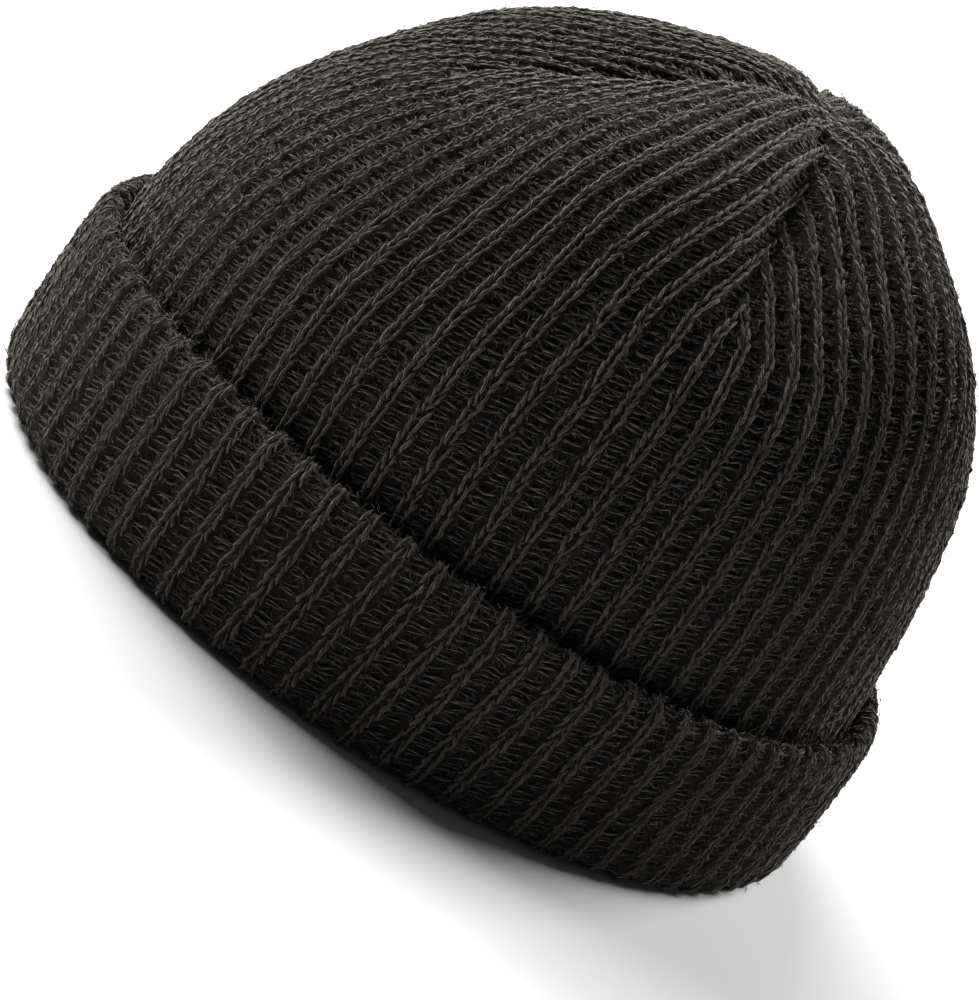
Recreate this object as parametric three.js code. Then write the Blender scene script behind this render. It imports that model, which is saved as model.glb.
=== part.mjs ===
// Knit hat in one-by-one rib with a turned-up cuff.
// Millimetres. The rim rests on z = 0 and +Z goes up through the crown.
// The forehead is towards -Y and the wearer's left towards +X.
// Azimuths are in degrees, from the forehead round by the wearer's left.
import * as THREE from 'three';

// Driving dimensions
const HAT_HEIGHT = 150.7;
const HEAD_HALF_LENGTH = 99;
const HEAD_HALF_WIDTH = 92.6;
const CLOTH = 3;
const CUFF_THICKNESS = 6.8;
const CUFF_HEIGHT_FRONT = 42.6;
const CUFF_HEIGHT_BACK = 40.3;
const CUFF_SIDE_RISE = 2.2;
const CUFF_SKEW = 1.35;
const GAP = 0.35;

// The top leans back and a little to the left of the rim's centre.
const APEX_BACK = 14.6;
const APEX_LEFT = 4;
const LEAN_POWER = 1.65;
const APEX_DIMPLE = 2.6;
const DIMPLE_RADIUS = 9;

// Ribs. A rib is one raised column of stitches and the furrow beside it.
const RIB_ANGLE = 4.5;
const CROWN_RELIEF = 0.8;
const CUFF_RELIEF = 1.4;
const RIB_CROWDING = 0.8;

// Four gores, each from the dart at its azimuth to the next dart.
const GORES = [
  { dart: 6.25, ribs: 18 },
  { dart: 87.25, ribs: 21 },
  { dart: 181.75, ribs: 20 },
  { dart: 271.75, ribs: 21 },
];
const DART_LEVEL = 4.5;
const DART_DEPTH = 2.6;
const DART_WIDTH = 5;
const SMALLEST_STEP = 0.3;

// Crown sections from the rim to just below the apex. Level 1, 2, 3 and so on
// is the row's place in the table, and the apex is one level past the last.
// share: height as a share of HAT_HEIGHT. front, back, left, right: distance
// from the leaning axis to the cloth. lobe: how far the gores swell between
// the darts, as a share of the radius.
const SECTIONS = [
  { share: 0.000, front: 99.0, back: 99.0, left: 92.6, right: 92.6, lobe: 0 },
  { share: 0.167, front: 99.4, back: 98.6, left: 92.4, right: 92.4, lobe: 0 },
  { share: 0.333, front: 101.0, back: 94.8, left: 90.4, right: 90.0, lobe: 0 },
  { share: 0.500, front: 97.0, back: 88.4, left: 88.0, right: 86.4, lobe: 0.02 },
  { share: 0.667, front: 84.1, back: 78.1, left: 80.6, right: 78.6, lobe: 0.03 },
  { share: 0.800, front: 64.8, back: 61.2, left: 64.5, right: 66.0, lobe: 0.17 },
  { share: 0.900, front: 40.6, back: 41.1, left: 44.2, right: 49.4, lobe: 0.27 },
  { share: 0.967, front: 20.4, back: 24.6, left: 23.6, right: 30.6, lobe: 0.10 },
];
const APEX_LEVEL = SECTIONS.length;

// Levels of the crown's rows, closer together where the darts draw it in.
const OUTER_LEVELS = [
  0.211, 1.3, 1.75, 2.25, 3, 3.75, 4.5, 4.85, 5.2, 5.55, 5.9,
  6.25, 6.6, 6.9, 7.2, 7.45, 7.7, 7.88,
];
const INNER_LEVELS = [7.6, 7.2, 6.8, 6.3, 5.8, 5.2, 4.5, 3.6, 2.8, 2, 1.1, 0.211];
const RELIEF_STARTS = 1.3;
const RELIEF_FULL = 2.2;

// Cuff profile, round from the rim's flat ring, up the outside, over the
// rolled top, down behind and under the crown's edge.
// out: distance outside the crown's line at the rim. up: height above the rim
// where from is 0, and below the cuff's top edge where from is 1.
// relief: share of the rib relief. fine: 1 where the row follows every rib.
const CUFF_PROFILE = [
  { out: 2.6, from: 0, up: 0.0, relief: 0.3, fine: 1 },
  { out: 5.0, from: 0, up: 1.5, relief: 0.7, fine: 1 },
  { out: 6.4, from: 0, up: 5.0, relief: 1.0, fine: 1 },
  { out: 6.8, from: 0, up: 14.0, relief: 1.0, fine: 1 },
  { out: 6.8, from: 1, up: -12.0, relief: 1.0, fine: 1 },
  { out: 6.4, from: 1, up: -5.0, relief: 1.0, fine: 1 },
  { out: 5.0, from: 1, up: -1.3, relief: 0.9, fine: 1 },
  { out: 3.3, from: 1, up: 0.0, relief: 0.6, fine: 1 },
  { out: 1.8, from: 1, up: -1.8, relief: 0.3, fine: 1 },
  { out: GAP, from: 1, up: -9.0, relief: 0.0, fine: 0 },
  { out: GAP, from: 0, up: 5.0, relief: 0.0, fine: 0 },
  { out: -CLOTH, from: 0, up: 5.0, relief: 0.0, fine: 0 },
  { out: -CLOTH + 0.6, from: 0, up: 0.0, relief: 0.0, fine: 0 },
];

const WOOL = { color: 0x2b2927, roughness: 0.95, metalness: 0 };

const radians = (degrees) => degrees * Math.PI / 180;
const clamp = (x, low, high) => Math.min(Math.max(x, low), high);
const mix = (a, b, share) => a + (b - a) * share;

// Smooth value of one column of SECTIONS at a level. Past the apex the
// section is mirrored, so distances change sign there and heights don't.
function sectionValue(column, level, apexValue, mirror) {
  const values = SECTIONS.map((row) => row[column]);
  values.push(apexValue);
  const last = values.length - 1;
  const first = 2 * values[0] - values[1];
  const past = mirror * values[last - 1];
  const at = (i) => (i < 0 ? first : i > last ? past : values[i]);
  const i = Math.min(Math.floor(level), last - 1);
  const f = level - i;
  const [a, b, c, d] = [at(i - 1), at(i), at(i + 1), at(i + 2)];
  return 0.5 * (2 * b + (c - a) * f + (2 * a - 5 * b + 4 * c - d) * f * f
    + (3 * b - a - 3 * c + d) * f * f * f);
}

// Point of the crown's middle outer surface, ribs and darts left aside.
function crownPoint(azimuth, level) {
  const share = sectionValue('share', level, 1, 1);
  const angle = radians(azimuth);
  const [s, c] = [Math.sin(angle), Math.cos(angle)];
  const alongY = sectionValue(c > 0 ? 'front' : 'back', level, 0, -1);
  const alongX = sectionValue(s > 0 ? 'left' : 'right', level, 0, -1);
  const lobe = sectionValue('lobe', level, SECTIONS[APEX_LEVEL - 1].lobe, 1);
  const swell = 1 + lobe * (Math.sin(2 * (angle - radians(GORES[0].dart))) ** 2 - 0.5);
  const lean = share ** LEAN_POWER;
  const x = alongX * s * swell;
  const y = -alongY * c * swell;
  const dimple = APEX_DIMPLE * Math.exp(-(x * x + y * y) / DIMPLE_RADIUS ** 2);
  const z = HAT_HEIGHT * share - dimple;
  return new THREE.Vector3(x + APEX_LEFT * lean, y + APEX_BACK * lean, z);
}

function crownNormal(azimuth, level) {
  const step = 0.02;
  const around = crownPoint(azimuth + 50 * step, level).sub(crownPoint(azimuth - 50 * step, level));
  const high = Math.min(level + step, APEX_LEVEL);
  const up = crownPoint(azimuth, high).sub(crownPoint(azimuth, level - step));
  return around.cross(up).normalize();
}

// Share of a gore's ribs that is left at a level: the darts swallow the rest.
function ribsLeft(level) {
  if (level <= DART_LEVEL) return 1;
  const radius = (at) => sectionValue('left', at, 0, -1) + sectionValue('front', at, 0, -1);
  return (radius(level) / radius(DART_LEVEL)) ** RIB_CROWDING;
}

// Azimuth of a rib coordinate. u counts ribs from the middle of the gore.
function ribAzimuth(gore, u, level) {
  return gore.dart + gore.ribs * RIB_ANGLE / 2 + u * RIB_ANGLE / ribsLeft(level);
}

// 1 on the crest of a rib and -1 in the furrow.
function ribWave(gore, u) {
  return -Math.cos(2 * Math.PI * (u + gore.ribs / 2));
}

// How far the dart draws the cloth in, near the seam of its gore.
function dartDepth(gore, u, level) {
  const left = ribsLeft(level);
  const pitch = radians(RIB_ANGLE) * HEAD_HALF_WIDTH * left ** (1 / RIB_CROWDING - 1);
  const fromSeam = (gore.ribs * left / 2 - Math.abs(u)) * pitch;
  const growth = clamp((level - DART_LEVEL) / 1.5, 0, 1) * clamp((APEX_LEVEL - level) / 0.6, 0, 1);
  return DART_DEPTH * growth * Math.exp(-((fromSeam / DART_WIDTH) ** 2));
}

// Rib coordinates of one row of a gore: both seams, and every crest and
// furrow between them, or only the furrows where step is 1.
function ribSteps(gore, left, step) {
  const half = gore.ribs * left / 2;
  const steps = [-half];
  for (let u = -gore.ribs / 2 + step; u < gore.ribs / 2 - step / 2; u += step) {
    if (Math.abs(u) < half - SMALLEST_STEP) steps.push(u);
  }
  steps.push(half);
  return steps;
}

// A closed surface made of rows. Each row goes once round the hat, gore by
// gore, and neighbouring gores share their seam vertex.
class Shell {
  constructor() {
    this.positions = [];
    this.triangles = [];
  }

  vertex(point) {
    this.positions.push(point.x, point.y, point.z);
    return this.positions.length / 3 - 1;
  }

  row(place, left, step) {
    const gores = GORES.map((gore) => ribSteps(gore, left, step).slice(0, -1)
      .map((u) => ({ u, index: this.vertex(place(gore, u)) })));
    return gores.map((points, i) => {
      const seam = gores[(i + 1) % gores.length][0];
      return [...points, { u: GORES[i].ribs * left / 2, index: seam.index }];
    });
  }

  // Fills the band between two rows, rib by rib.
  join(lower, upper) {
    lower.forEach((from, i) => {
      const to = upper[i];
      let [a, b] = [0, 0];
      while (a < from.length - 1 || b < to.length - 1) {
        const stepLower = b === to.length - 1
          || (a < from.length - 1 && from[a + 1].u <= to[b + 1].u);
        if (stepLower) {
          this.triangles.push(from[a].index, from[a + 1].index, to[b].index);
          a += 1;
        } else {
          this.triangles.push(from[a].index, to[b + 1].index, to[b].index);
          b += 1;
        }
      }
    });
  }

  // Closes a row to one point, seen from the side that the row turns around.
  close(row, point, above) {
    const tip = this.vertex(point);
    row.forEach((points) => {
      for (let i = 0; i < points.length - 1; i += 1) {
        const [a, b] = [points[i].index, points[i + 1].index];
        if (above) this.triangles.push(a, b, tip);
        else this.triangles.push(b, a, tip);
      }
    });
  }

  mesh(name) {
    const geometry = new THREE.BufferGeometry();
    geometry.setAttribute('position', new THREE.Float32BufferAttribute(this.positions, 3));
    geometry.setIndex(this.triangles);
    geometry.computeVertexNormals();
    const mesh = new THREE.Mesh(geometry, new THREE.MeshStandardMaterial(WOOL));
    mesh.name = name;
    return mesh;
  }
}

// Crown: the ribbed dome, open below, with four darts that meet at the top.
function makeCrown() {
  const shell = new Shell();
  const outer = (level) => (gore, u) => {
    const azimuth = ribAzimuth(gore, u, level);
    const shown = clamp((level - RELIEF_STARTS) / (RELIEF_FULL - RELIEF_STARTS), 0, 1);
    const relief = CROWN_RELIEF * shown * ribWave(gore, u);
    const out = relief - dartDepth(gore, u, level);
    return crownPoint(azimuth, level).addScaledVector(crownNormal(azimuth, level), out);
  };
  const inner = (level) => (gore, u) => {
    const azimuth = ribAzimuth(gore, u, level);
    const inward = CLOTH + dartDepth(gore, u, level);
    return crownPoint(azimuth, level).addScaledVector(crownNormal(azimuth, level), -inward);
  };
  const outerRows = OUTER_LEVELS.map((level) => shell.row(outer(level), ribsLeft(level), 0.5));
  const innerRows = INNER_LEVELS.map((level) => shell.row(inner(level), ribsLeft(level), 2));
  outerRows.slice(1).forEach((row, i) => shell.join(outerRows[i], row));
  innerRows.slice(1).forEach((row, i) => shell.join(innerRows[i], row));
  shell.join(innerRows.at(-1), outerRows[0]);
  const apex = crownPoint(0, APEX_LEVEL);
  shell.close(outerRows.at(-1), apex, true);
  shell.close(innerRows[0], apex.clone().setZ(apex.z - CLOTH), false);
  return shell.mesh('crown');
}

// Height of the cuff's top edge, a little uneven as it is turned up by hand.
function cuffHeight(azimuth) {
  const angle = radians(azimuth);
  return mix(CUFF_HEIGHT_BACK, CUFF_HEIGHT_FRONT, (1 + Math.cos(angle)) / 2)
    + CUFF_SIDE_RISE * Math.sin(angle) ** 2 + CUFF_SKEW * Math.sin(2 * angle);
}

// Point at a distance outside the crown's line at the rim, at a height.
function bandPoint(azimuth, out, z) {
  const angle = radians(azimuth);
  const x = HEAD_HALF_WIDTH * Math.sin(angle);
  const y = -HEAD_HALF_LENGTH * Math.cos(angle);
  const normal = new THREE.Vector3(x / HEAD_HALF_WIDTH ** 2, y / HEAD_HALF_LENGTH ** 2, 0);
  return new THREE.Vector3(x, y, z).addScaledVector(normal.normalize(), out);
}

// Cuff: the doubled band outside the crown, folded at the rim and rolled at
// its top edge. Its lower fold is flat where it rests and carries the crown.
function makeCuff() {
  const shell = new Shell();
  const scale = CUFF_THICKNESS / Math.max(...CUFF_PROFILE.map((row) => row.out));
  const rows = CUFF_PROFILE.map((row) => shell.row((gore, u) => {
    const azimuth = ribAzimuth(gore, u, 0);
    const relief = 0.5 * CUFF_RELIEF * row.relief * ribWave(gore, u);
    const out = row.out > GAP ? row.out * scale : row.out;
    const rise = row.from === 1 ? cuffHeight(azimuth) : 0;
    const lift = row.from === 1 && row.up > -2 ? relief : 0;
    return bandPoint(azimuth, out + relief, row.up + rise + lift);
  }, 1, row.fine === 1 ? 0.5 : 1));
  rows.forEach((row, i) => shell.join(row, rows[(i + 1) % rows.length]));
  return shell.mesh('cuff');
}

const hat = new THREE.Group();
hat.name = 'knit_hat';
hat.add(makeCrown(), makeCuff());

export default hat;
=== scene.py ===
import math

import bpy
import numpy as np
from mathutils import Matrix, Vector


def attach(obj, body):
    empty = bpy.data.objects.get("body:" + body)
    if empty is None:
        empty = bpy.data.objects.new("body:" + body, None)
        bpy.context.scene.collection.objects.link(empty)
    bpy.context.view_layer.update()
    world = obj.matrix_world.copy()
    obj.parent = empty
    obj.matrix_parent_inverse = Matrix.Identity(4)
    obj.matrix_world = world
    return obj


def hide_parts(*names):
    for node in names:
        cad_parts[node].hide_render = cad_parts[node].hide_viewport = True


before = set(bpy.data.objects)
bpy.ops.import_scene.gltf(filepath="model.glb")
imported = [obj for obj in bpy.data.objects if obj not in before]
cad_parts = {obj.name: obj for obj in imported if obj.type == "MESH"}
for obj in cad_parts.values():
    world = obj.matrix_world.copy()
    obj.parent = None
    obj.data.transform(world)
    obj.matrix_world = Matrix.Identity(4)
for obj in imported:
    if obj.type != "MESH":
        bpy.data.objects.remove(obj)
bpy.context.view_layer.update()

# Knit hat in one-by-one rib, dressed in real stitches.
# Lengths are in millimetres until a mesh is made, and metres in the scene.
# Azimuths are in degrees, from the forehead round by the wearer's left.
# Levels run from 0 at the rim to 8 at the apex. A gore is the cloth between
# two darts, and a place across it is counted in ribs from its middle.
# A rise is a height over the cloth's outer surface.

rng = np.random.default_rng(7)
MM = 0.001

# Driving dimensions of the hat
HAT_HEIGHT = 150.7
HEAD_HALF_LENGTH = 99.0
HEAD_HALF_WIDTH = 92.6
CUFF_HEIGHT_FRONT = 42.6
CUFF_HEIGHT_BACK = 40.3
CUFF_SIDE_RISE = 2.2
CUFF_SKEW = 1.35
APEX_BACK = 14.6
APEX_LEFT = 4.0
LEAN_POWER = 1.65
APEX_DIMPLE = 2.6
DIMPLE_RADIUS = 9.0

# Crown sections from the rim to just below the apex, as shares of the height
# and distances from the leaning axis. The lobe swells the cloth between darts.
SECTIONS = {
    "share": [0.000, 0.167, 0.333, 0.500, 0.667, 0.800, 0.900, 0.967],
    "front": [99.0, 99.4, 101.0, 97.0, 84.1, 64.8, 40.6, 20.4],
    "back": [99.0, 98.6, 94.8, 88.4, 78.1, 61.2, 41.1, 24.6],
    "left": [92.6, 92.4, 90.4, 88.0, 80.6, 64.5, 44.2, 23.6],
    "right": [92.6, 92.4, 90.0, 86.4, 78.6, 66.0, 49.4, 30.6],
    "lobe": [0.0, 0.0, 0.0, 0.02, 0.03, 0.17, 0.27, 0.10],
}
APEX_LEVEL = 8.0

# Cuff profile: distance outside the crown's line, height, and whether the
# height is measured from the rim (0) or from the cuff's top edge (1).
CUFF_PROFILE = [
    (-2.4, 0.9, 0), (2.6, 0.7, 0), (5.0, 1.9, 0), (6.4, 5.0, 0), (6.8, 14.0, 0),
    (6.8, -12.0, 1), (6.4, -5.0, 1), (5.0, -1.3, 1), (3.3, 0.0, 1), (1.8, -1.8, 1),
    (0.8, -9.0, 1),
]
MEAN_CUFF_HEIGHT = 42.5
PROFILE_SAMPLES = 400

# Ribs and gores: each gore starts at a dart's azimuth and has its own ribs
RIB_COUNT = 80
RIB_ANGLE = 4.5
RIB_CROWDING = 0.8
GORES = [(6.25, 18), (87.25, 21), (181.75, 20), (271.75, 21)]
GORE_NAMES = ["front_left", "back_left", "back_right", "front_right"]
DART_LEVEL = 4.5
DART_DEPTH = 3.0
DART_WIDTH = 4.0
DART_GROWTH = 1.5
DART_FADE = 0.6
UNDARTED = 0.999
NO_SEAM = 99.0
LEAST_GIRTH = 0.001
SEAM_TOLERANCE = 1e-6

# Sideways drift of the crown's ribs, in ribs by level and as shares by azimuth
DRIFT_LEVELS = [1.5, 3.0, 4.5, 5.5, 6.5, 7.3, 8.0]
DRIFT_RIBS = [0.0, 0.7, 1.5, 2.5, 3.6, 4.3, 4.6]
DRIFT_AZIMUTHS = [-180, -60, 10, 70, 112, 140, 180]
DRIFT_SHARES = [0.0, 0.0, 1.0, 1.0, -0.1, -0.4, 0.0]
DRIFT_ROUNDS = 6

# Lean of the cuff's ribs, in mm for each mm of height, near one azimuth
CUFF_DRIFT = 0.14
CUFF_DRIFT_AZIMUTH = 90
CUFF_DRIFT_SPREAD = 38
MM_PER_DEGREE = 1.8

# The cuff's crest, where the cloth rolls over: its furrows are shallower there
# and its ribs bulge
CREST_TRAVEL = 11.0
CREST_SPREAD = 3.0
CREST_FILL = 0.35
KNUCKLE_RISE = 1.0
KNUCKLE_SPREAD = 4.0

# Stitch rows of the crown, and the rows kept beyond its first and last
ROW = 2.5
CROWN_FIRST_LEVEL = 1.3
CROWN_LAST_LEVEL = 7.93
ROW_SAMPLES = 600
ROWS_BEFORE = 2
ROWS_AFTER = 4
MERIDIANS = range(0, 360, 30)

# Steps for slopes of the surfaces: degrees, levels and mm along the cuff
AZIMUTH_STEP = 0.5
LEVEL_STEP = 0.02
APEX_MARGIN = 0.021
TRAVEL_STEP = 0.3
TINY = 1e-12

# Cuff stitches below this height are pressed up to the floor's clearance
PRESS_HEIGHT = 1.0
FLOOR_CLEARANCE = 0.5

# One leg of a stitch: place across the rib as a share of the rib's pitch,
# place along it in rows, rise, and thickness as a share of the yarn's radius.
LEG = np.array([
    (0.068, -0.40, -0.35, 0.00),
    (0.080, 0.02, 0.12, 0.90),
    (0.112, 0.50, 0.24, 1.00),
    (0.144, 0.98, 0.04, 0.92),
    (0.154, 1.38, -0.45, 0.00),
])
LEG_LOOK = {"slack": 1.35, "yarn": 0.34, "sides": 4, "tone": 0.60}
LEG_MIDDLE = 0.12

# One strand across a furrow, from rib to rib, in the same columns. Its low tone is painted
# shade in the furrow.
RUNG = np.array([
    (0.18, -0.14, -0.70, 0.00),
    (0.36, 0.04, -1.05, 1.00),
    (0.64, 0.20, -1.15, 1.00),
    (0.82, 0.36, -0.75, 0.00),
])
RUNG_LOOK_WITH_PAINTED_SHADE = {"slack": 2.2, "yarn": 0.28, "sides": 3, "tone": 0.04}
RUNG_MIDDLE = 0.5
RUNG_START = 0.1
RUNG_REACH = 0.3
RUNGS_PER_ROW = 2
EXTRA_RIBS = 3

# Unevenness of the strands: of a whole strand, and from point to point
STRAND_SWAY = 0.016
POINT_SWAY = 0.011
STRAND_ROW = 0.07
POINT_ROW = 0.05
STRAND_RISE = 0.09
POINT_RISE = 0.08
STRAND_THICKNESS = 0.13
POINT_THICKNESS = 0.12
THINNEST = 0.05
SEAM_PULL = 0.88
TONE_SPREAD = 0.18
YARN_BEADS = 2.2
YARN_SHIFT = 50

# Slow sway of each rib: two waves, each with a size in ribs and a length in rows
WANDER_SEED = 5
WANDER_PHASES = 3
LONG_WANDER = (0.040, 7.0)
SHORT_WANDER = (0.024, 2.6)

# Loose fibres
FIBRE_LENGTH = 2.2
FIBRE_RADIUS = 0.105
FIBRE_SIDES = 3
FIBRE_TONE = 0.45
FIBRE_SIZES = (0.5, 1.4)
FIBRE_RISE = -0.50
FIBRE_RIB_RISE = 0.70
FIBRE_RISE_SPREAD = (-0.35, 0.40)
FIBRE_FLATNESS = 0.75
FIBRE_BEND = 0.7
FIBRE_MIDDLE_ALONG = 0.5
FIBRE_MIDDLE_BEND = 0.25
FIBRE_END_BEND = -0.2
FIBRE_LIFT = 0.12
FIBRE_LOWEST_MIDDLE = 0.15
FIBRE_LOWEST_END = 0.1
CROWN_FIBRES = 20500
CUFF_FIBRES = 6300
CREST_FIBRES = 0.22

# Ribbed cloth behind the strands
CLOTH_HIGH = -0.1
CLOTH_LOW = -2.0
CLOTH_THICK = 1.5
CLOTH_COLUMNS = 320
CLOTH_COLUMNS_PER_RIB = CLOTH_COLUMNS / RIB_COUNT
OUTER_LEVELS = np.concatenate([np.linspace(0.23, 4.5, 22), np.linspace(4.6, 7.93, 44)])
INNER_LEVELS = np.concatenate([np.linspace(7.9, 4.6, 18), np.linspace(4.5, 0.23, 12)])
WAVE_STARTS = 1.2
WAVE_GROWTH = 0.5
APEX_WAVE = 0.25
OUTER_TIP = -1.4
INNER_TIP = -3.2
CUFF_RINGS = 44
CUFF_LINING = [(0.4, -16.0, 1), (0.4, 6.0, 0), (-2.6, 5.0, 0)]

# Looks of the wool: its darkest and lightest colour, the tones that get them,
# the weight of the fuzz's sheen, and 1 for twisted plies or 0 for single fibres
YARN_WOOL = {"dark": (0.012, 0.0108, 0.0095), "light": (0.072, 0.0648, 0.0569),
             "low": 0.38, "high": 0.72, "sheen": 0.30, "plies": 1.0}
FLUFF_WOOL = {"dark": (0.012, 0.0108, 0.0095), "light": (0.060, 0.054, 0.0474),
              "low": 0.26, "high": 0.55, "sheen": 0.35, "plies": 0.0}
# The backing is far darker than the strands: painted shade in the furrows between the ribs
BACKING_PAINTED_SHADE = {"dark": (0.003, 0.0027, 0.0024), "light": (0.014, 0.0126, 0.0111),
                "low": 0.35, "high": 0.7, "sheen": 0.30}

# Shares in a strand's tone: of patches; of each strand's own tone, which is random and, on the
# rungs, low as painted shade; of fine grain; and of the plies' wave, which darkens the grooves
# between the plies as painted shade
PATCH_SHARE = 0.20
STRAND_TONE_AND_SHADE_SHARE = 0.30
GRAIN_SHARE = 0.35
PLY_GROOVE_SHADE_SHARE = 0.30

# Noises of the wool, and the strength and depth in metres of its bumps
PATCH_SCALE = 60.0
PATCH_DETAIL = 3.0
GRAIN_STRETCH = (5.0, 3.0, 1.0)
GRAIN_DETAIL = 4.0
GRAIN_ROUGHNESS = 0.7
STRAND_BUMP = (0.9, 0.00022)
BACKING_SCALE = 900.0
BACKING_DETAIL = 5.0
BACKING_BUMP = (0.8, 0.0006)
SHEEN_ROUGHNESS = 0.5
SHEEN_TINT = (1.0, 0.90, 0.80, 1)


def catmull_rom(a, b, c, d, f):
    return 0.5 * (2 * b + (c - a) * f + (2 * a - 5 * b + 4 * c - d) * f ** 2
                  + (3 * b - a - 3 * c + d) * f ** 3)


def section_value(column, level, apex_value, mirror):
    """Value of a column of SECTIONS at a level. The mirror is -1 where the
    value changes sign past the apex, and 1 where it keeps it."""
    values = np.append(SECTIONS[column], apex_value)
    before = 2 * values[0] - values[1]
    padded = np.concatenate([[before], values, [mirror * values[-2]]])
    i = np.clip(np.floor(level), 0, len(values) - 2).astype(int)
    return catmull_rom(padded[i], padded[i + 1], padded[i + 2], padded[i + 3], level - i)


def crown_point(azimuth, level):
    share = section_value("share", level, 1.0, 1)
    angle = np.radians(azimuth)
    sine, cosine = np.sin(angle), np.cos(angle)
    along_y = np.where(cosine > 0, section_value("front", level, 0, -1),
                       section_value("back", level, 0, -1))
    along_x = np.where(sine > 0, section_value("left", level, 0, -1),
                       section_value("right", level, 0, -1))
    lobe = section_value("lobe", level, SECTIONS["lobe"][-1], 1)
    first_dart = math.radians(GORES[0][0])
    swell = 1 + lobe * (np.sin(2 * (angle - first_dart)) ** 2 - 0.5)
    x = along_x * sine * swell
    y = -along_y * cosine * swell
    dimple = APEX_DIMPLE * np.exp(-(x * x + y * y) / DIMPLE_RADIUS ** 2)
    lean = np.clip(share, 0, None) ** LEAN_POWER
    return np.stack([x + APEX_LEFT * lean, y + APEX_BACK * lean,
                     HAT_HEIGHT * share - dimple], -1)


def cuff_height(azimuth):
    angle = np.radians(azimuth)
    mean = (CUFF_HEIGHT_FRONT + CUFF_HEIGHT_BACK) / 2
    half = (CUFF_HEIGHT_FRONT - CUFF_HEIGHT_BACK) / 2
    return (mean + half * np.cos(angle) + CUFF_SIDE_RISE * np.sin(angle) ** 2
            + CUFF_SKEW * np.sin(2 * angle))


def smooth_curve(points, count):
    """Catmull-Rom curve through rows of numbers, evenly spaced by parameter."""
    points = np.asarray(points, float)
    before = 2 * points[0] - points[1]
    after = 2 * points[-1] - points[-2]
    padded = np.concatenate([[before], points, [after]])
    t = np.linspace(0, len(points) - 1, count)
    i = np.clip(np.floor(t), 0, len(points) - 2).astype(int)
    return catmull_rom(padded[i], padded[i + 1], padded[i + 2], padded[i + 3], (t - i)[:, None])


cuff_curve = smooth_curve(CUFF_PROFILE, PROFILE_SAMPLES)
cuff_steps = np.hypot(np.diff(cuff_curve[:, 0]),
                      np.diff(cuff_curve[:, 1] + cuff_curve[:, 2] * MEAN_CUFF_HEIGHT))
cuff_travel = np.concatenate([[0], np.cumsum(cuff_steps)])
CUFF_LENGTH = cuff_travel[-1]


def beside_rim(azimuth, out, height):
    """Point at a distance outside the crown's line at the rim."""
    angle = np.radians(azimuth)
    x = HEAD_HALF_WIDTH * np.sin(angle)
    y = -HEAD_HALF_LENGTH * np.cos(angle)
    normal_x = x / HEAD_HALF_WIDTH ** 2
    normal_y = y / HEAD_HALF_LENGTH ** 2
    size = np.hypot(normal_x, normal_y)
    return np.stack([x + normal_x / size * out, y + normal_y / size * out, height], -1)


def cuff_point(azimuth, travel):
    """Point of the cuff's surface at a distance along its profile."""
    out = np.interp(travel, cuff_travel, cuff_curve[:, 0])
    up = np.interp(travel, cuff_travel, cuff_curve[:, 1])
    top = np.interp(travel, cuff_travel, cuff_curve[:, 2])
    return beside_rim(azimuth, out, up + top * cuff_height(azimuth))


def surface_frame(point, azimuth, place, step):
    """Point, outward normal, and mm per degree round the hat."""
    side = point(azimuth + AZIMUTH_STEP, place) - point(azimuth - AZIMUTH_STEP, place)
    up = point(azimuth, place + step) - point(azimuth, place - step)
    normal = np.cross(side, up)
    normal /= np.linalg.norm(normal, axis=-1, keepdims=True) + TINY
    return point(azimuth, place), normal, np.linalg.norm(side, axis=-1)


def crown_frame(azimuth, level):
    level = np.minimum(level, APEX_LEVEL - APEX_MARGIN)
    return surface_frame(crown_point, azimuth, level, LEVEL_STEP)


def cuff_frame(azimuth, travel):
    return surface_frame(cuff_point, azimuth, travel, TRAVEL_STEP)


def girth_measure(level):
    return section_value("left", level, 0, -1) + section_value("front", level, 0, -1)


def ribs_left(level):
    """Share of a gore's ribs that the darts leave at a level."""
    level = np.asarray(level, float)
    start = girth_measure(np.array(DART_LEVEL))
    girth = np.clip(girth_measure(np.maximum(level, DART_LEVEL)), LEAST_GIRTH, None)
    return np.where(level <= DART_LEVEL, 1.0, (girth / start) ** RIB_CROWDING)


def start_azimuth(gore, rib):
    """Azimuth at which a rib starts at the rim."""
    start, ribs = GORES[gore]
    return start + (ribs / 2 + rib) * RIB_ANGLE


def rib_drift(azimuth, level):
    """How far the ribs have drifted sideways at a level, in ribs. The azimuth
    is where the rib starts at the rim."""
    drift = np.interp(level, DRIFT_LEVELS, DRIFT_RIBS)
    return drift * np.interp((azimuth + 180) % 360 - 180, DRIFT_AZIMUTHS, DRIFT_SHARES)


def dart_depth(seam_distance, level):
    growth = (np.clip((level - DART_LEVEL) / DART_GROWTH, 0, 1)
              * np.clip((APEX_LEVEL - level) / DART_FADE, 0, 1))
    return DART_DEPTH * growth * np.exp(-(seam_distance / DART_WIDTH) ** 2)


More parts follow.
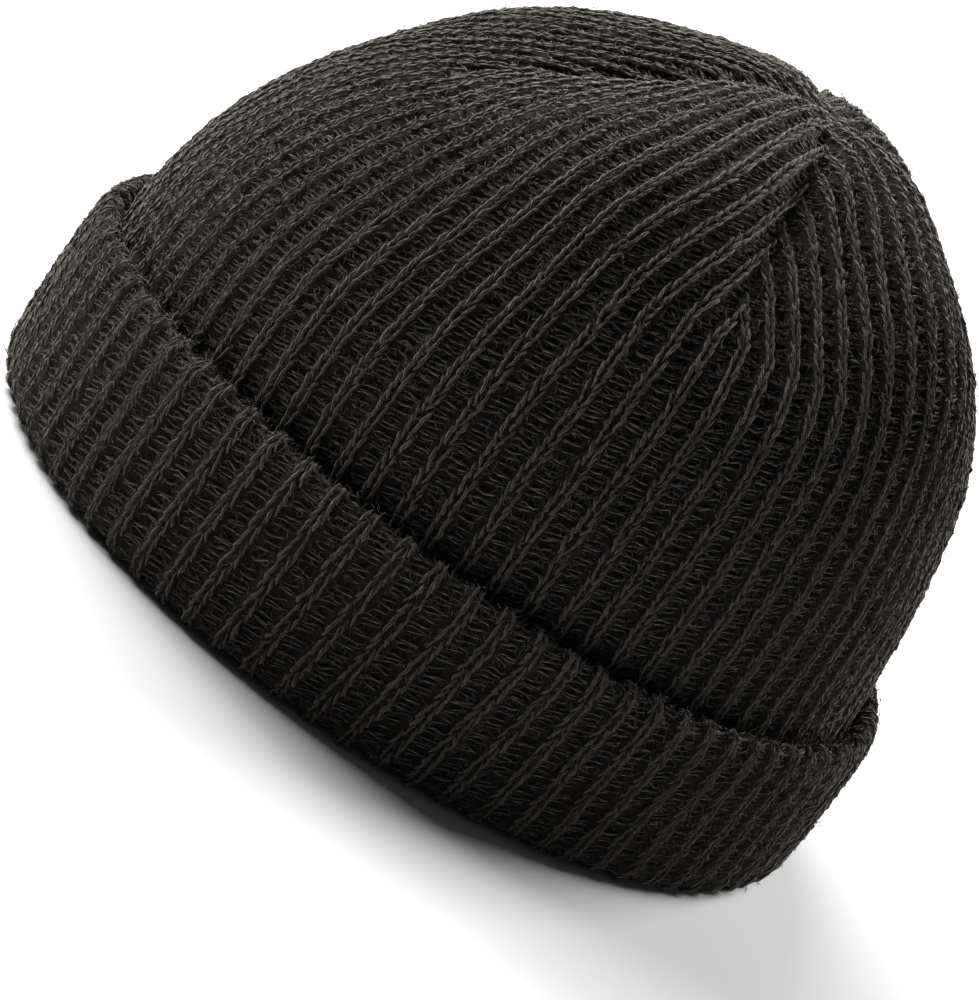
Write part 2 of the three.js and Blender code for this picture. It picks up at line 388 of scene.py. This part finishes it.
def crown_rows():
    """Numbers and levels of the crown's stitch rows, ROW apart on average,
    and how many of them are knitted."""
    levels = np.linspace(CROWN_FIRST_LEVEL, CROWN_LAST_LEVEL, ROW_SAMPLES)
    lengths = np.zeros(len(levels) - 1)
    for azimuth in MERIDIANS:
        line = crown_point(np.full(len(levels), float(azimuth)), levels)
        lengths += np.linalg.norm(np.diff(line, axis=0), axis=1) / len(MERIDIANS)
    travel = np.concatenate([[0], np.cumsum(lengths)])
    count = int(travel[-1] / ROW)
    rows = np.arange(-ROWS_BEFORE, count + ROWS_AFTER)
    slope = (levels[1] - levels[0]) / (travel[1] - travel[0])
    inside = np.interp(rows * ROW, travel, levels)
    return rows, np.where(rows < 0, CROWN_FIRST_LEVEL + rows * ROW * slope, inside), count


def rib_wave(gore, rib):
    """1 in the middle of each rib, and -1 in the furrows between them."""
    return -np.cos(2 * np.pi * (rib + GORES[gore][1] / 2))


def crest_share(travel):
    """Depth of the cuff's furrows, which is less at the crest."""
    from_crest = CUFF_LENGTH - travel - CREST_TRAVEL
    return 1 - CREST_FILL * np.exp(-(from_crest / CREST_SPREAD) ** 2)


def knuckle_rise(wave, travel):
    """How far the ribs bulge at the crest."""
    from_crest = CUFF_LENGTH - travel - CREST_TRAVEL
    return KNUCKLE_RISE * (1 + wave) / 2 * np.exp(-(from_crest / KNUCKLE_SPREAD) ** 2)


def cuff_drift(azimuth, travel):
    """How far the cuff's ribs lean round the hat on their way up, in degrees."""
    away = (azimuth - CUFF_DRIFT_AZIMUTH + 180) % 360 - 180
    share = np.exp(-(away / CUFF_DRIFT_SPREAD) ** 2)
    return CUFF_DRIFT * share * np.minimum(travel, MEAN_CUFF_HEIGHT) / MM_PER_DEGREE


class CrownKnit:
    """Maps rib, row and rise to space on the crown."""
    extra_ribs = EXTRA_RIBS
    rung_slant = 1

    def __init__(self):
        self.rows, self.levels, self.count = crown_rows()

    def level(self, row):
        return np.interp(row, self.rows, self.levels)

    def place(self, gore, rib, row, rise):
        level = self.level(row)
        left = ribs_left(level)
        start, ribs = GORES[gore]
        place = rib - rib_drift(start_azimuth(gore, rib), level)
        azimuth = start + ribs * RIB_ANGLE / 2 + place * RIB_ANGLE / left
        point, normal, speed = crown_frame(azimuth, level)
        pitch = speed * RIB_ANGLE / left
        seam = (ribs * left / 2 - np.abs(place)) * pitch
        seam = np.where(left > UNDARTED, NO_SEAM, np.maximum(seam, 0))
        lift = rise - dart_depth(seam, level)
        return point + normal * lift[..., None], normal

    def seams(self, gore, rib, row):
        """Place across the gore, the seam's place, and whether no dart has begun."""
        level = self.level(row)
        left = ribs_left(level)
        place = rib - rib_drift(start_azimuth(gore, rib), level)
        return place, GORES[gore][1] * left / 2, left > UNDARTED

    def scatter(self, gore, count):
        """Ribs and rows of loose fibres that lie between the gore's seams."""
        ribs = GORES[gore][1]
        rib = rng.uniform(-ribs / 2, ribs / 2, count) * (1 + 2 * EXTRA_RIBS / ribs)
        row = rng.uniform(0, self.count, count)
        place, seam, _ = self.seams(gore, rib, row)
        keep = np.abs(place) < seam
        return rib[keep], row[keep]


class CuffKnit:
    """Maps rib, row and rise to space on the cuff, rows counted downwards."""
    extra_ribs = 0
    rung_slant = -1

    def __init__(self):
        self.count = int(CUFF_LENGTH / ROW)

    def place(self, gore, rib, row, rise):
        travel = CUFF_LENGTH - row * ROW
        azimuth = start_azimuth(gore, rib)
        azimuth = azimuth + cuff_drift(azimuth, travel)
        point, normal, _ = cuff_frame(azimuth, travel)
        rise = np.where(rise < 0, rise * crest_share(travel), rise)
        rise = rise + knuckle_rise(rib_wave(gore, rib), travel)
        point = point + normal * rise[..., None]
        height = point[..., 2]
        squeeze = np.exp(np.minimum(height - PRESS_HEIGHT, 0))
        pressed = FLOOR_CLEARANCE + (PRESS_HEIGHT - FLOOR_CLEARANCE) * squeeze
        point[..., 2] = np.where(height < PRESS_HEIGHT, pressed, height)
        return point, normal

    def seams(self, gore, rib, row):
        """The same as on the crown, but the cuff has no darts."""
        return rib, np.full(len(rib), GORES[gore][1] / 2), np.ones(len(rib), bool)

    def scatter(self, gore, count):
        """Ribs and rows of loose fibres, some of them gathered on the crest."""
        ribs = GORES[gore][1]
        rib = rng.uniform(-ribs / 2, ribs / 2, count)
        row = rng.uniform(0, self.count, count)
        on_crest = rng.random(count) < CREST_FIBRES
        crest_row = rng.normal(CREST_TRAVEL, CREST_SPREAD, count) / ROW
        return rib, np.where(on_crest, crest_row, row)


def tube_faces(rings, sides):
    """Triangles of one closed tube. Its rings come first, then its two tips."""
    faces = []
    for r in range(rings - 1):
        for k in range(sides):
            a = r * sides + k
            b = r * sides + (k + 1) % sides
            faces += [(a, b, b + sides), (a, b + sides, a + sides)]
    tip = rings * sides
    last = (rings - 1) * sides
    for k in range(sides):
        n = (k + 1) % sides
        faces.append((tip, n, k))
        faces.append((last + k, last + n, tip + 1))
    return np.array(faces)


def tubes(centres, normals, radii, sides, tone):
    """Closed tapering tubes. centres is strands x points x 3, and the first
    and last point of each strand are its tips. The yarn attribute holds the
    place along the strand, the turn of its two plies and a chance number."""
    count, length, _ = centres.shape
    tangent = np.gradient(centres, axis=1)
    tangent /= np.linalg.norm(tangent, axis=2, keepdims=True) + TINY
    side = np.cross(tangent, normals)
    side /= np.linalg.norm(side, axis=2, keepdims=True) + TINY
    up = np.cross(side, tangent)
    turn = np.arange(sides) / sides * 2 * np.pi
    body = slice(1, length - 1)
    rings = length - 2
    per = rings * sides + 2
    spokes = (np.cos(turn)[None, None, :, None] * side[:, body, None]
              + np.sin(turn)[None, None, :, None] * up[:, body, None])
    ring = centres[:, body, None] + radii[:, body, None, None] * spokes
    verts = np.concatenate([ring.reshape(count, rings * sides, 3),
                            centres[:, :1], centres[:, -1:]], 1)
    faces = tube_faces(rings, sides)[None] + (np.arange(count) * per)[:, None, None]
    along = np.linspace(0, 1, length)
    place = np.concatenate([np.repeat(along[1:-1], sides), along[[0, -1]]])
    around = np.concatenate([np.tile(turn, rings), [np.pi / 2, np.pi / 2]]) / np.pi
    chance = np.repeat(rng.random(count), per)
    yarn = np.stack([np.tile(place, count),
                     np.tile(around - YARN_BEADS * place, count) + chance,
                     YARN_SHIFT * chance], 1)
    # Each strand's shade is its tone spread at random; the rungs' low tone is painted shade in
    # the furrows
    shade = np.repeat(np.clip(rng.normal(tone, TONE_SPREAD, count), 0, 1), per)
    return verts.reshape(-1, 3), faces.reshape(-1, 3), yarn, shade


def strands(knit, gore, rib, row, lean, limit, shape, slack, yarn, sides, tone):
    """Copies of one strand shape at many ribs and rows. The lean is the rib's
    drift there. No strand goes far past the limit, the place of the seam in
    ribs. The slack is how loose they lie."""
    size = (len(rib), len(shape))
    whole = rng.normal(0, 1, (len(rib), 3))
    loose = rng.normal(0, 1, (3, *size))
    ribs = rib[:, None] + shape[None, :, 0] + STRAND_SWAY * slack * whole[:, :1]
    ribs = ribs + POINT_SWAY * slack * loose[0]
    place = ribs - lean[:, None]
    past = np.abs(place) - limit[:, None]
    ribs = np.where(past > 0, ribs - np.sign(place) * SEAM_PULL * past, ribs)
    rows = row[:, None] + shape[None, :, 1] + STRAND_ROW * slack * whole[:, 1:2]
    rows = rows + POINT_ROW * slack * loose[1]
    rise = (shape[None, :, 2] + STRAND_RISE * slack * whole[:, 2:3]
            + POINT_RISE * slack * loose[2])
    centres, normals = knit.place(gore, ribs, rows, rise)
    thick = shape[None, :, 3] * yarn * (1 + STRAND_THICKNESS * rng.normal(0, 1, (len(rib), 1)))
    thick = thick * (1 + POINT_THICKNESS * rng.normal(0, 1, size))
    return tubes(centres, normals, np.clip(thick, THINNEST, None), sides, tone)


def wander(gore, rib, row):
    """Slow sideways sway of each rib, as a share of its pitch."""
    chance = np.random.default_rng(WANDER_SEED)
    phases = chance.random((RIB_COUNT, WANDER_PHASES)) * 2 * np.pi
    number = np.round((start_azimuth(gore, rib) - GORES[0][0]) / RIB_ANGLE - 0.5)
    number = number.astype(int) % RIB_COUNT
    return (LONG_WANDER[0] * np.sin(row / LONG_WANDER[1] + phases[number, 0])
            + SHORT_WANDER[0] * np.sin(row / SHORT_WANDER[1] + phases[number, 1]))


def knit_piece(name, knit, gore):
    """All stitches of one gore, as one mesh."""
    ribs = GORES[gore][1]
    numbers = np.arange(-knit.extra_ribs, ribs + knit.extra_ribs) - ribs / 2 + 0.5
    rib, row = np.meshgrid(numbers, np.arange(knit.count), indexing="ij")
    rib, row = rib.ravel(), row.ravel().astype(float)
    place, limit, free = knit.seams(gore, rib, row)
    lean = rib - place
    swaying = rib + wander(gore, rib, row)
    parts = []
    for side in (1, -1):
        keep = np.abs(place + np.where(free, 0, side * LEG_MIDDLE)) <= limit
        seam = np.where(free, NO_SEAM, limit)[keep]
        parts.append(strands(knit, gore, swaying[keep], row[keep], lean[keep], seam,
                             LEG * (side, 1, 1, 1), **LEG_LOOK))
    for k in range(RUNGS_PER_ROW):
        keep = (np.abs(place + np.where(free, 0, RUNG_MIDDLE))
                <= limit + np.where(free, 0, RUNG_REACH))
        seam = np.where(free, NO_SEAM, limit)[keep]
        rung = RUNG * (1, knit.rung_slant, 1, 1)
        rung[:, 1] = rung[:, 1] + RUNG_START + k / RUNGS_PER_ROW
        parts.append(strands(knit, gore, rib[keep], row[keep], lean[keep], seam,
                             rung, **RUNG_LOOK_WITH_PAINTED_SHADE))
    return merge(name, parts)


def fibre_piece(name, knit, gore, count):
    """Loose wool fibres that stand off the stitches, as fine bent spindles."""
    rib, row = knit.scatter(gore, count)
    count = len(rib)
    rise = FIBRE_RISE + FIBRE_RIB_RISE * rib_wave(gore, rib)
    rise = rise + rng.uniform(*FIBRE_RISE_SPREAD, count)
    root, normal = knit.place(gore, rib, row, rise)
    heading = rng.normal(0, 1, (count, 3))
    heading -= (heading * normal).sum(1, keepdims=True) * normal * FIBRE_FLATNESS
    heading /= np.linalg.norm(heading, axis=1, keepdims=True)
    bend = np.cross(heading, normal) * rng.normal(0, FIBRE_BEND, (count, 1))
    length = FIBRE_LENGTH * rng.uniform(*FIBRE_SIZES, (count, 1))
    to_middle = heading * FIBRE_MIDDLE_ALONG + bend * FIBRE_MIDDLE_BEND
    middle = root + to_middle * length + normal * FIBRE_LIFT
    end = root + (heading + bend * FIBRE_END_BEND) * length
    middle[:, 2] = np.maximum(middle[:, 2], FIBRE_LOWEST_MIDDLE)
    end[:, 2] = np.maximum(end[:, 2], FIBRE_LOWEST_END)
    centres = np.stack([root, middle, end], 1)
    radii = np.full((count, 3), FIBRE_RADIUS) * rng.uniform(*FIBRE_SIZES, (count, 1))
    normals = normal[:, None].repeat(3, 1)
    return merge(name, [tubes(centres, normals, radii, FIBRE_SIDES, FIBRE_TONE)])


def merge(name, parts):
    """One mesh of several sets of tubes."""
    verts, faces, yarn, shade = zip(*parts)
    starts = np.cumsum([0] + [len(v) for v in verts[:-1]])
    faces = [f + start for f, start in zip(faces, starts)]
    return make_mesh(name, np.concatenate(verts), np.concatenate(faces),
                     np.concatenate(yarn), np.concatenate(shade))


def make_mesh(name, verts, faces, yarn=None, shade=None):
    mesh = bpy.data.meshes.new(name)
    faces = np.asarray(faces, np.int32)
    sides = faces.shape[1]
    mesh.vertices.add(len(verts))
    mesh.vertices.foreach_set("co", (np.asarray(verts) * MM).astype(np.float32).ravel())
    mesh.loops.add(faces.size)
    mesh.loops.foreach_set("vertex_index", faces.ravel())
    mesh.polygons.add(len(faces))
    mesh.polygons.foreach_set("loop_start", np.arange(0, faces.size, sides, dtype=np.int32))
    mesh.update(calc_edges=True)
    if yarn is not None:
        layer = mesh.attributes.new("yarn", "FLOAT_VECTOR", "POINT")
        layer.data.foreach_set("vector", yarn.astype(np.float32).ravel())
        shade_layer = mesh.attributes.new("shade", "FLOAT", "POINT")
        shade_layer.data.foreach_set("value", shade.astype(np.float32))
    mesh.shade_smooth()
    mesh.validate()
    obj = bpy.data.objects.new(name, mesh)
    bpy.context.scene.collection.objects.link(obj)
    return obj


def band_faces(first, second):
    """Triangles between two rings of the cloth, given by their ring numbers."""
    j = np.arange(CLOTH_COLUMNS)
    n = (j + 1) % CLOTH_COLUMNS
    a = first * CLOTH_COLUMNS
    b = second * CLOTH_COLUMNS
    return np.concatenate([np.stack([a + j, a + n, b + n], 1),
                           np.stack([a + j, b + n, b + j], 1)])


def crown_wave(azimuth, level):
    """Rib wave, distance to the nearest seam in ribs, and the share of ribs
    left, at places on the crown."""
    left = ribs_left(level)
    wave = np.zeros_like(azimuth)
    seam = np.full_like(azimuth, NO_SEAM)
    for gore, (start, ribs) in enumerate(GORES):
        offset = (azimuth - start) % 360
        inside = offset <= ribs * RIB_ANGLE + SEAM_TOLERANCE
        place = (offset - ribs * RIB_ANGLE / 2) / RIB_ANGLE * left
        rib = place
        for _ in range(DRIFT_ROUNDS):
            rib = place + rib_drift(start_azimuth(gore, rib), level)
        wave = np.where(inside, rib_wave(gore, rib), wave)
        seam = np.where(inside, ribs * left / 2 - np.abs(place), seam)
    return wave, np.maximum(seam, 0), left


def cloth_rise(wave, inner):
    middle = (CLOTH_HIGH + CLOTH_LOW) / 2
    half = (CLOTH_HIGH - CLOTH_LOW) / 2
    return middle + half * wave - (CLOTH_THICK if inner else 0.0)


def cloth_azimuths():
    return GORES[0][0] + np.arange(CLOTH_COLUMNS) * 360 / CLOTH_COLUMNS


def crown_ring(level, inner):
    """One ring of the crown's cloth, on its outer or inner face."""
    azimuth = cloth_azimuths()
    levels = np.full(CLOTH_COLUMNS, level)
    wave, seam, left = crown_wave(azimuth, levels)
    point, normal, speed = crown_frame(azimuth, levels)
    pitch = speed * RIB_ANGLE / left
    seam = np.where(left > UNDARTED, NO_SEAM, seam * pitch)
    foot = np.clip((level - WAVE_STARTS) / WAVE_GROWTH, 0, 1)
    top = np.clip((APEX_LEVEL - levels) / WAVE_GROWTH, APEX_WAVE, 1)
    rise = cloth_rise(wave * foot * top, inner) - dart_depth(seam, levels)
    return point + normal * rise[:, None]


def crown_cloth():
    """The crown's cloth: an outer and an inner face, joined at the foot."""
    rings = [crown_ring(level, False) for level in OUTER_LEVELS]
    rings += [crown_ring(level, True) for level in INNER_LEVELS]
    outer_top = len(OUTER_LEVELS) - 1
    last = len(rings) - 1
    faces = [band_faces(k, k + 1) for k in range(last) if k != outer_top]
    faces.append(band_faces(last, 0))
    apex = crown_point(np.array([0.0]), np.array([APEX_LEVEL]))[0]
    tips = [apex + [0, 0, OUTER_TIP], apex + [0, 0, INNER_TIP]]
    verts = np.concatenate(rings + [tips])
    j = np.arange(CLOTH_COLUMNS)
    n = (j + 1) % CLOTH_COLUMNS
    outer = outer_top * CLOTH_COLUMNS
    inner = outer + CLOTH_COLUMNS
    tip = np.full(CLOTH_COLUMNS, len(rings) * CLOTH_COLUMNS)
    faces.append(np.stack([outer + j, outer + n, tip], 1))
    faces.append(np.stack([inner + n, inner + j, tip + 1], 1))
    return make_mesh("crown_cloth", verts, np.concatenate(faces))


def cuff_cloth():
    """The cuff's cloth, closed inside by a plain lining face."""
    wave = -np.cos(2 * np.pi * (np.arange(CLOTH_COLUMNS) / CLOTH_COLUMNS_PER_RIB))
    rings = []
    for travel in np.linspace(0, CUFF_LENGTH, CUFF_RINGS):
        azimuth = cloth_azimuths()
        azimuth = azimuth + cuff_drift(azimuth, travel)
        point, normal, _ = cuff_frame(azimuth, np.full(CLOTH_COLUMNS, travel))
        rise = cloth_rise(wave, False) * crest_share(travel) + knuckle_rise(wave, travel)
        point = point + normal * rise[:, None]
        point[:, 2] = np.maximum(point[:, 2], FLOOR_CLEARANCE)
        rings.append(point)
    for out, up, top in CUFF_LINING:
        rings.append(beside_rim(azimuth, out, up + top * cuff_height(azimuth)))
    last = len(rings) - 1
    faces = [band_faces(k, k + 1) for k in range(last)] + [band_faces(last, 0)]
    return make_mesh("cuff_cloth", np.concatenate(rings), np.concatenate(faces))


def new_material(name):
    material = bpy.data.materials.new(name)
    material.use_nodes = True
    tree = material.node_tree
    tree.nodes.clear()
    out = tree.nodes.new("ShaderNodeOutputMaterial")
    shader = tree.nodes.new("ShaderNodeBsdfPrincipled")
    tree.links.new(shader.outputs[0], out.inputs[0])
    return material, tree, shader


def math_node(tree, operation, *values):
    """A math node. Each value is a number or the output of another node."""
    node = tree.nodes.new("ShaderNodeMath")
    node.operation = operation
    for socket, value in zip(node.inputs, values):
        if isinstance(value, bpy.types.NodeSocket):
            tree.links.new(value, socket)
        else:
            socket.default_value = value
    return node.outputs[0]


def noise_node(tree, vector, scale, detail):
    node = tree.nodes.new("ShaderNodeTexNoise")
    node.inputs["Scale"].default_value = scale
    node.inputs["Detail"].default_value = detail
    tree.links.new(vector, node.inputs["Vector"])
    return node


def attribute_node(tree, name):
    node = tree.nodes.new("ShaderNodeAttribute")
    node.attribute_name = name
    return node


def colour_by(tree, shader, tone, low, high, dark, light):
    """Base colour from dark at the low tone to light at the high tone."""
    ramp = tree.nodes.new("ShaderNodeValToRGB")
    ramp.color_ramp.elements[0].position = low
    ramp.color_ramp.elements[0].color = (*dark, 1)
    ramp.color_ramp.elements[1].position = high
    ramp.color_ramp.elements[1].color = (*light, 1)
    tree.links.new(tone, ramp.inputs["Fac"])
    tree.links.new(ramp.outputs["Color"], shader.inputs["Base Color"])


def bump_by(tree, shader, height, strength, distance):
    lump = tree.nodes.new("ShaderNodeBump")
    lump.inputs["Strength"].default_value = strength
    lump.inputs["Distance"].default_value = distance
    tree.links.new(height, lump.inputs["Height"])
    tree.links.new(lump.outputs["Normal"], shader.inputs["Normal"])


def wool_surface(shader, roughness, specular, sheen):
    """Matt wool with the soft glow of its fuzz."""
    shader.inputs["Roughness"].default_value = roughness
    shader.inputs["Specular IOR Level"].default_value = specular
    shader.inputs["Sheen Weight"].default_value = sheen
    shader.inputs["Sheen Roughness"].default_value = SHEEN_ROUGHNESS
    shader.inputs["Sheen Tint"].default_value = SHEEN_TINT


def strand_material(name, dark, light, low, high, sheen, plies):
    """Wool strands, with a fine grain that runs along them."""
    material, tree, shader = new_material(name)
    yarn = attribute_node(tree, "yarn").outputs["Vector"]
    shade = attribute_node(tree, "shade").outputs["Fac"]
    split = tree.nodes.new("ShaderNodeSeparateXYZ")
    tree.links.new(yarn, split.inputs[0])
    turn = math_node(tree, "MULTIPLY", split.outputs["Y"], 2 * math.pi)
    ply = math_node(tree, "MULTIPLY_ADD", math_node(tree, "SINE", turn), 0.5, 0.5)
    stretch = tree.nodes.new("ShaderNodeVectorMath")
    stretch.operation = "MULTIPLY"
    stretch.inputs[1].default_value = GRAIN_STRETCH
    tree.links.new(yarn, stretch.inputs[0])
    grain = noise_node(tree, stretch.outputs[0], 1.0, GRAIN_DETAIL)
    grain.inputs["Roughness"].default_value = GRAIN_ROUGHNESS
    coords = tree.nodes.new("ShaderNodeTexCoord")
    patches = noise_node(tree, coords.outputs["Object"], PATCH_SCALE, PATCH_DETAIL)
    tone = math_node(tree, "MULTIPLY", patches.outputs["Fac"], PATCH_SHARE)
    tone = math_node(tree, "MULTIPLY_ADD", shade, STRAND_TONE_AND_SHADE_SHARE, tone)
    tone = math_node(tree, "MULTIPLY_ADD", grain.outputs["Fac"], GRAIN_SHARE, tone)
    # The plies' wave also darkens the grooves between the plies: painted shade
    tone = math_node(tree, "MULTIPLY_ADD", ply, plies * PLY_GROOVE_SHADE_SHARE, tone)
    colour_by(tree, shader, tone, low, high, dark, light)
    height = math_node(tree, "MULTIPLY_ADD", ply, plies, grain.outputs["Fac"])
    bump_by(tree, shader, height, *STRAND_BUMP)
    wool_surface(shader, 0.9, 0.25, sheen)
    return material


def cloth_material(name, dark, light, low, high, sheen):
    """The dense knit behind the strands, in darker colours that are painted shade in the
    furrows.
    """
    material, tree, shader = new_material(name)
    coords = tree.nodes.new("ShaderNodeTexCoord")
    noise = noise_node(tree, coords.outputs["Object"], BACKING_SCALE, BACKING_DETAIL)
    colour_by(tree, shader, noise.outputs["Fac"], low, high, dark, light)
    bump_by(tree, shader, noise.outputs["Fac"], *BACKING_BUMP)
    wool_surface(shader, 1.0, 0.1, sheen)
    return material


# The camera was matched to the photograph in the hat's own frame.
CAMERA_AZIMUTH = 75.74
CAMERA_ELEVATION = 17.68
CAMERA_ROLL = 35.70
CAMERA_DISTANCE = 0.9783
AIM_HEIGHT = 0.0564
AIM_RIGHT = -0.0108
AIM_UP = -0.0216
FOCAL_LENGTH = 158.1
SENSOR_WIDTH = 36

# Studio: lights stand off the point that they light, in metres to the
# camera's right, up and back. The key lights a point nearer the crown's top.
FLOOR_HALF = 6.0
FLOOR_COLOUR = (0.7, 0.7, 0.7, 1)
WORLD_STRENGTH = 0.05
LIGHTS = [
    {"name": "key", "aim_up": 0.10, "right": -0.08, "up": 0.50, "back": 0.06,
     "size": 0.40, "power": 4.8},
    {"name": "top", "aim_up": 0.0, "right": 0.0, "up": 2.8, "back": -1.5,
     "size": 2.9, "power": 195.0},
    {"name": "side_right", "aim_up": 0.0, "right": 1.6, "up": 0.5, "back": -0.8,
     "size": 1.0, "power": 50.0},
]


def camera_axes():
    a, e, r = (math.radians(v) for v in (CAMERA_AZIMUTH, CAMERA_ELEVATION, CAMERA_ROLL))
    back = Vector((math.sin(a) * math.cos(e), -math.cos(a) * math.cos(e), math.sin(e)))
    level = Vector((math.cos(a), math.sin(a), 0))
    upright = back.cross(level)
    right = math.cos(r) * level + math.sin(r) * upright
    up = -math.sin(r) * level + math.cos(r) * upright
    return right, up, back


def make_camera():
    """The scene's camera. Returns the point that it looks at."""
    right, up, back = camera_axes()
    aim = Vector((0, 0, AIM_HEIGHT)) + AIM_RIGHT * right + AIM_UP * up
    data = bpy.data.cameras.new("camera")
    data.sensor_width = SENSOR_WIDTH
    data.lens = FOCAL_LENGTH
    data.clip_start = 0.05
    data.clip_end = 50
    camera = bpy.data.objects.new("camera", data)
    matrix = Matrix((right, up, back)).transposed().to_4x4()
    matrix.translation = aim + CAMERA_DISTANCE * back
    camera.matrix_world = matrix
    bpy.context.scene.collection.objects.link(camera)
    bpy.context.scene.camera = camera
    return aim


def area_light(name, place, aim, size, power):
    data = bpy.data.lights.new(name, "AREA")
    data.shape = "DISK"
    data.size = size
    data.energy = power
    light = bpy.data.objects.new(name, data)
    light.location = place
    light.rotation_euler = (aim - place).to_track_quat("-Z", "Y").to_euler()
    bpy.context.scene.collection.objects.link(light)


def make_floor():
    h = FLOOR_HALF
    mesh = bpy.data.meshes.new("floor")
    mesh.from_pydata([(-h, -h, 0), (h, -h, 0), (h, h, 0), (-h, h, 0)], [], [(0, 1, 2, 3)])
    floor = bpy.data.objects.new("floor", mesh)
    bpy.context.scene.collection.objects.link(floor)
    material, _, shader = new_material("floor_pale")
    shader.inputs["Base Color"].default_value = FLOOR_COLOUR
    shader.inputs["Roughness"].default_value = 0.9
    mesh.materials.append(material)


def make_stage(aim):
    make_floor()
    world = bpy.data.worlds.new("studio")
    world.use_nodes = True
    world.node_tree.nodes["Background"].inputs[0].default_value = (1, 1, 1, 1)
    world.node_tree.nodes["Background"].inputs[1].default_value = WORLD_STRENGTH
    bpy.context.scene.world = world
    bpy.context.scene.view_settings.view_transform = "Standard"
    right, up, back = camera_axes()
    for light in LIGHTS:
        target = aim + light["aim_up"] * up
        place = target + light["up"] * up + light["back"] * back + light["right"] * right
        area_light(light["name"], place, target, light["size"], light["power"])


def dress(piece, material):
    piece.data.materials.append(material)
    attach(piece, "root")


wool = strand_material("wool_yarn", **YARN_WOOL)
fluff = strand_material("wool_fibre", **FLUFF_WOOL)
# The cloth behind the strands, darkened as painted shade
painted_shade_backing = cloth_material("wool_backing_painted_shade", **BACKING_PAINTED_SHADE)
crown_knit = CrownKnit()
cuff_knit = CuffKnit()

for gore, name in enumerate(GORE_NAMES):
    dress(knit_piece("crown_stitches_" + name, crown_knit, gore), wool)
for gore, name in enumerate(GORE_NAMES):
    dress(knit_piece("cuff_stitches_" + name, cuff_knit, gore), wool)
for gore, name in enumerate(GORE_NAMES):
    dress(fibre_piece("crown_fibres_" + name, crown_knit, gore, CROWN_FIBRES), fluff)
    dress(fibre_piece("cuff_fibres_" + name, cuff_knit, gore, CUFF_FIBRES), fluff)

for piece, node in ((crown_cloth(), "crown"), (cuff_cloth(), "cuff")):
    dress(piece, painted_shade_backing)
    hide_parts(node)

make_stage(make_camera())
